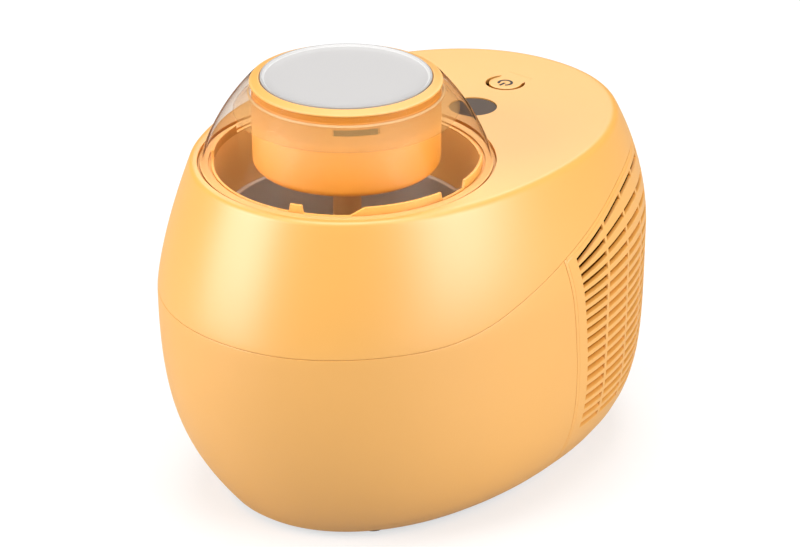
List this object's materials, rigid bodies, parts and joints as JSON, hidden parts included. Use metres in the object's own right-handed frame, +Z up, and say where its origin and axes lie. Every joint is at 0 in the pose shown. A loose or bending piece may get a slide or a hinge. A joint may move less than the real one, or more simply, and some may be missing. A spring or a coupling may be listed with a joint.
{
  "type": "ice cream maker",
  "caption": "Egg-shaped countertop ice cream maker with a clear dome lid, a motor head, a removable bowl, a paddle and a louvred rear panel",
  "frame": {"origin": "centre of the footprint box at the level of the undersides of the feet", "axes": "+X to the right seen from the dome end, -Y toward the dome end, +Y toward the louvred vent end, +Z up"},
  "size_m": [0.2694, 0.3698, 0.2837],
  "materials": {
    "body_plastic": "satin gloss, warm yellow orange",
    "clear_plastic": "clear moulded plastic",
    "frosted_plastic": "frosted, light tan",
    "cap_white": "satin off-white",
    "paddle_plastic": "satin, warm tan",
    "dark_plastic": "matt black",
    "badge_dark": "gloss dark brown, bare",
    "aluminium": "spun, satin",
    "copper_tone": "copper tone, plain",
    "steel": "zinc plated",
    "compressor_black": "black enamel",
    "foam": "cellular foam",
    "rubber": "matt",
    "gasket_silicone": "soft, translucent tan",
    "board_green": "solder mask"
  },
  "bodies": {
    "body": {"upper_housing": "body_plastic", "lower_housing": "body_plastic", "rear_panel": "body_plastic", "cord_gland": "dark_plastic", "base_plate": "dark_plastic", "leg_screws": "steel", "feet": "rubber", "deck_badge": "badge_dark", "control_board": "board_green", "key_switch": "dark_plastic", "lid_collar": "body_plastic", "well": "aluminium", "evaporator_jacket": "copper_tone", "insulation": "foam", "well_support": "dark_plastic", "compressor": "compressor_black", "grommets": "rubber", "fan_bracket": "steel", "fan_frame": "dark_plastic", "condenser": "aluminium"},
    "gasket": {"lid_gasket": "gasket_silicone"},
    "lid": {"lid_dome": "clear_plastic", "head_skirt": "frosted_plastic", "head_drum": "body_plastic", "head_cap": "cap_white", "drive_motor": "steel"},
    "dasher": {"drive_spindle": "steel", "paddle": "paddle_plastic"},
    "bowl": {"bowl": "aluminium"},
    "key": {"power_key": "body_plastic"},
    "fan": {"fan_rotor": "dark_plastic"}
  },
  "joints": [
    {"name": "lid_lift", "type": "slide", "parent": "body", "child": "gasket", "axis": [0, 0, 1], "range_m": [0, 0.26]},
    {"name": "lid_twist", "type": "hinge", "parent": "gasket", "child": "lid", "pos_m": [0, -0.0598, 0.228], "axis": [0, 0, 1], "range_deg": [0, 25]},
    {"name": "dasher_spin", "type": "hinge", "parent": "lid", "child": "dasher", "pos_m": [0, -0.0598, 0.226], "axis": [0, 0, 1], "continuous": true},
    {"name": "bowl_lift", "type": "slide", "parent": "body", "child": "bowl", "axis": [0, 0, 1], "range_m": [0, 0.13]},
    {"name": "key_press", "type": "hinge", "parent": "body", "child": "key", "pos_m": [0, 0.1182, 0.2268], "axis": [1, 0, 0], "range_deg": [0, 3.5], "stiffness_Nm_per_rad": 0.5},
    {"name": "fan_spin", "type": "hinge", "parent": "body", "child": "fan", "pos_m": [0.05, 0.078, 0.082], "axis": [0, -1, 0], "continuous": true}
  ],
  "couplings": [
    {"joint": "bowl_lift", "follows": "lid_lift", "ratio": 0.5}
  ]
}
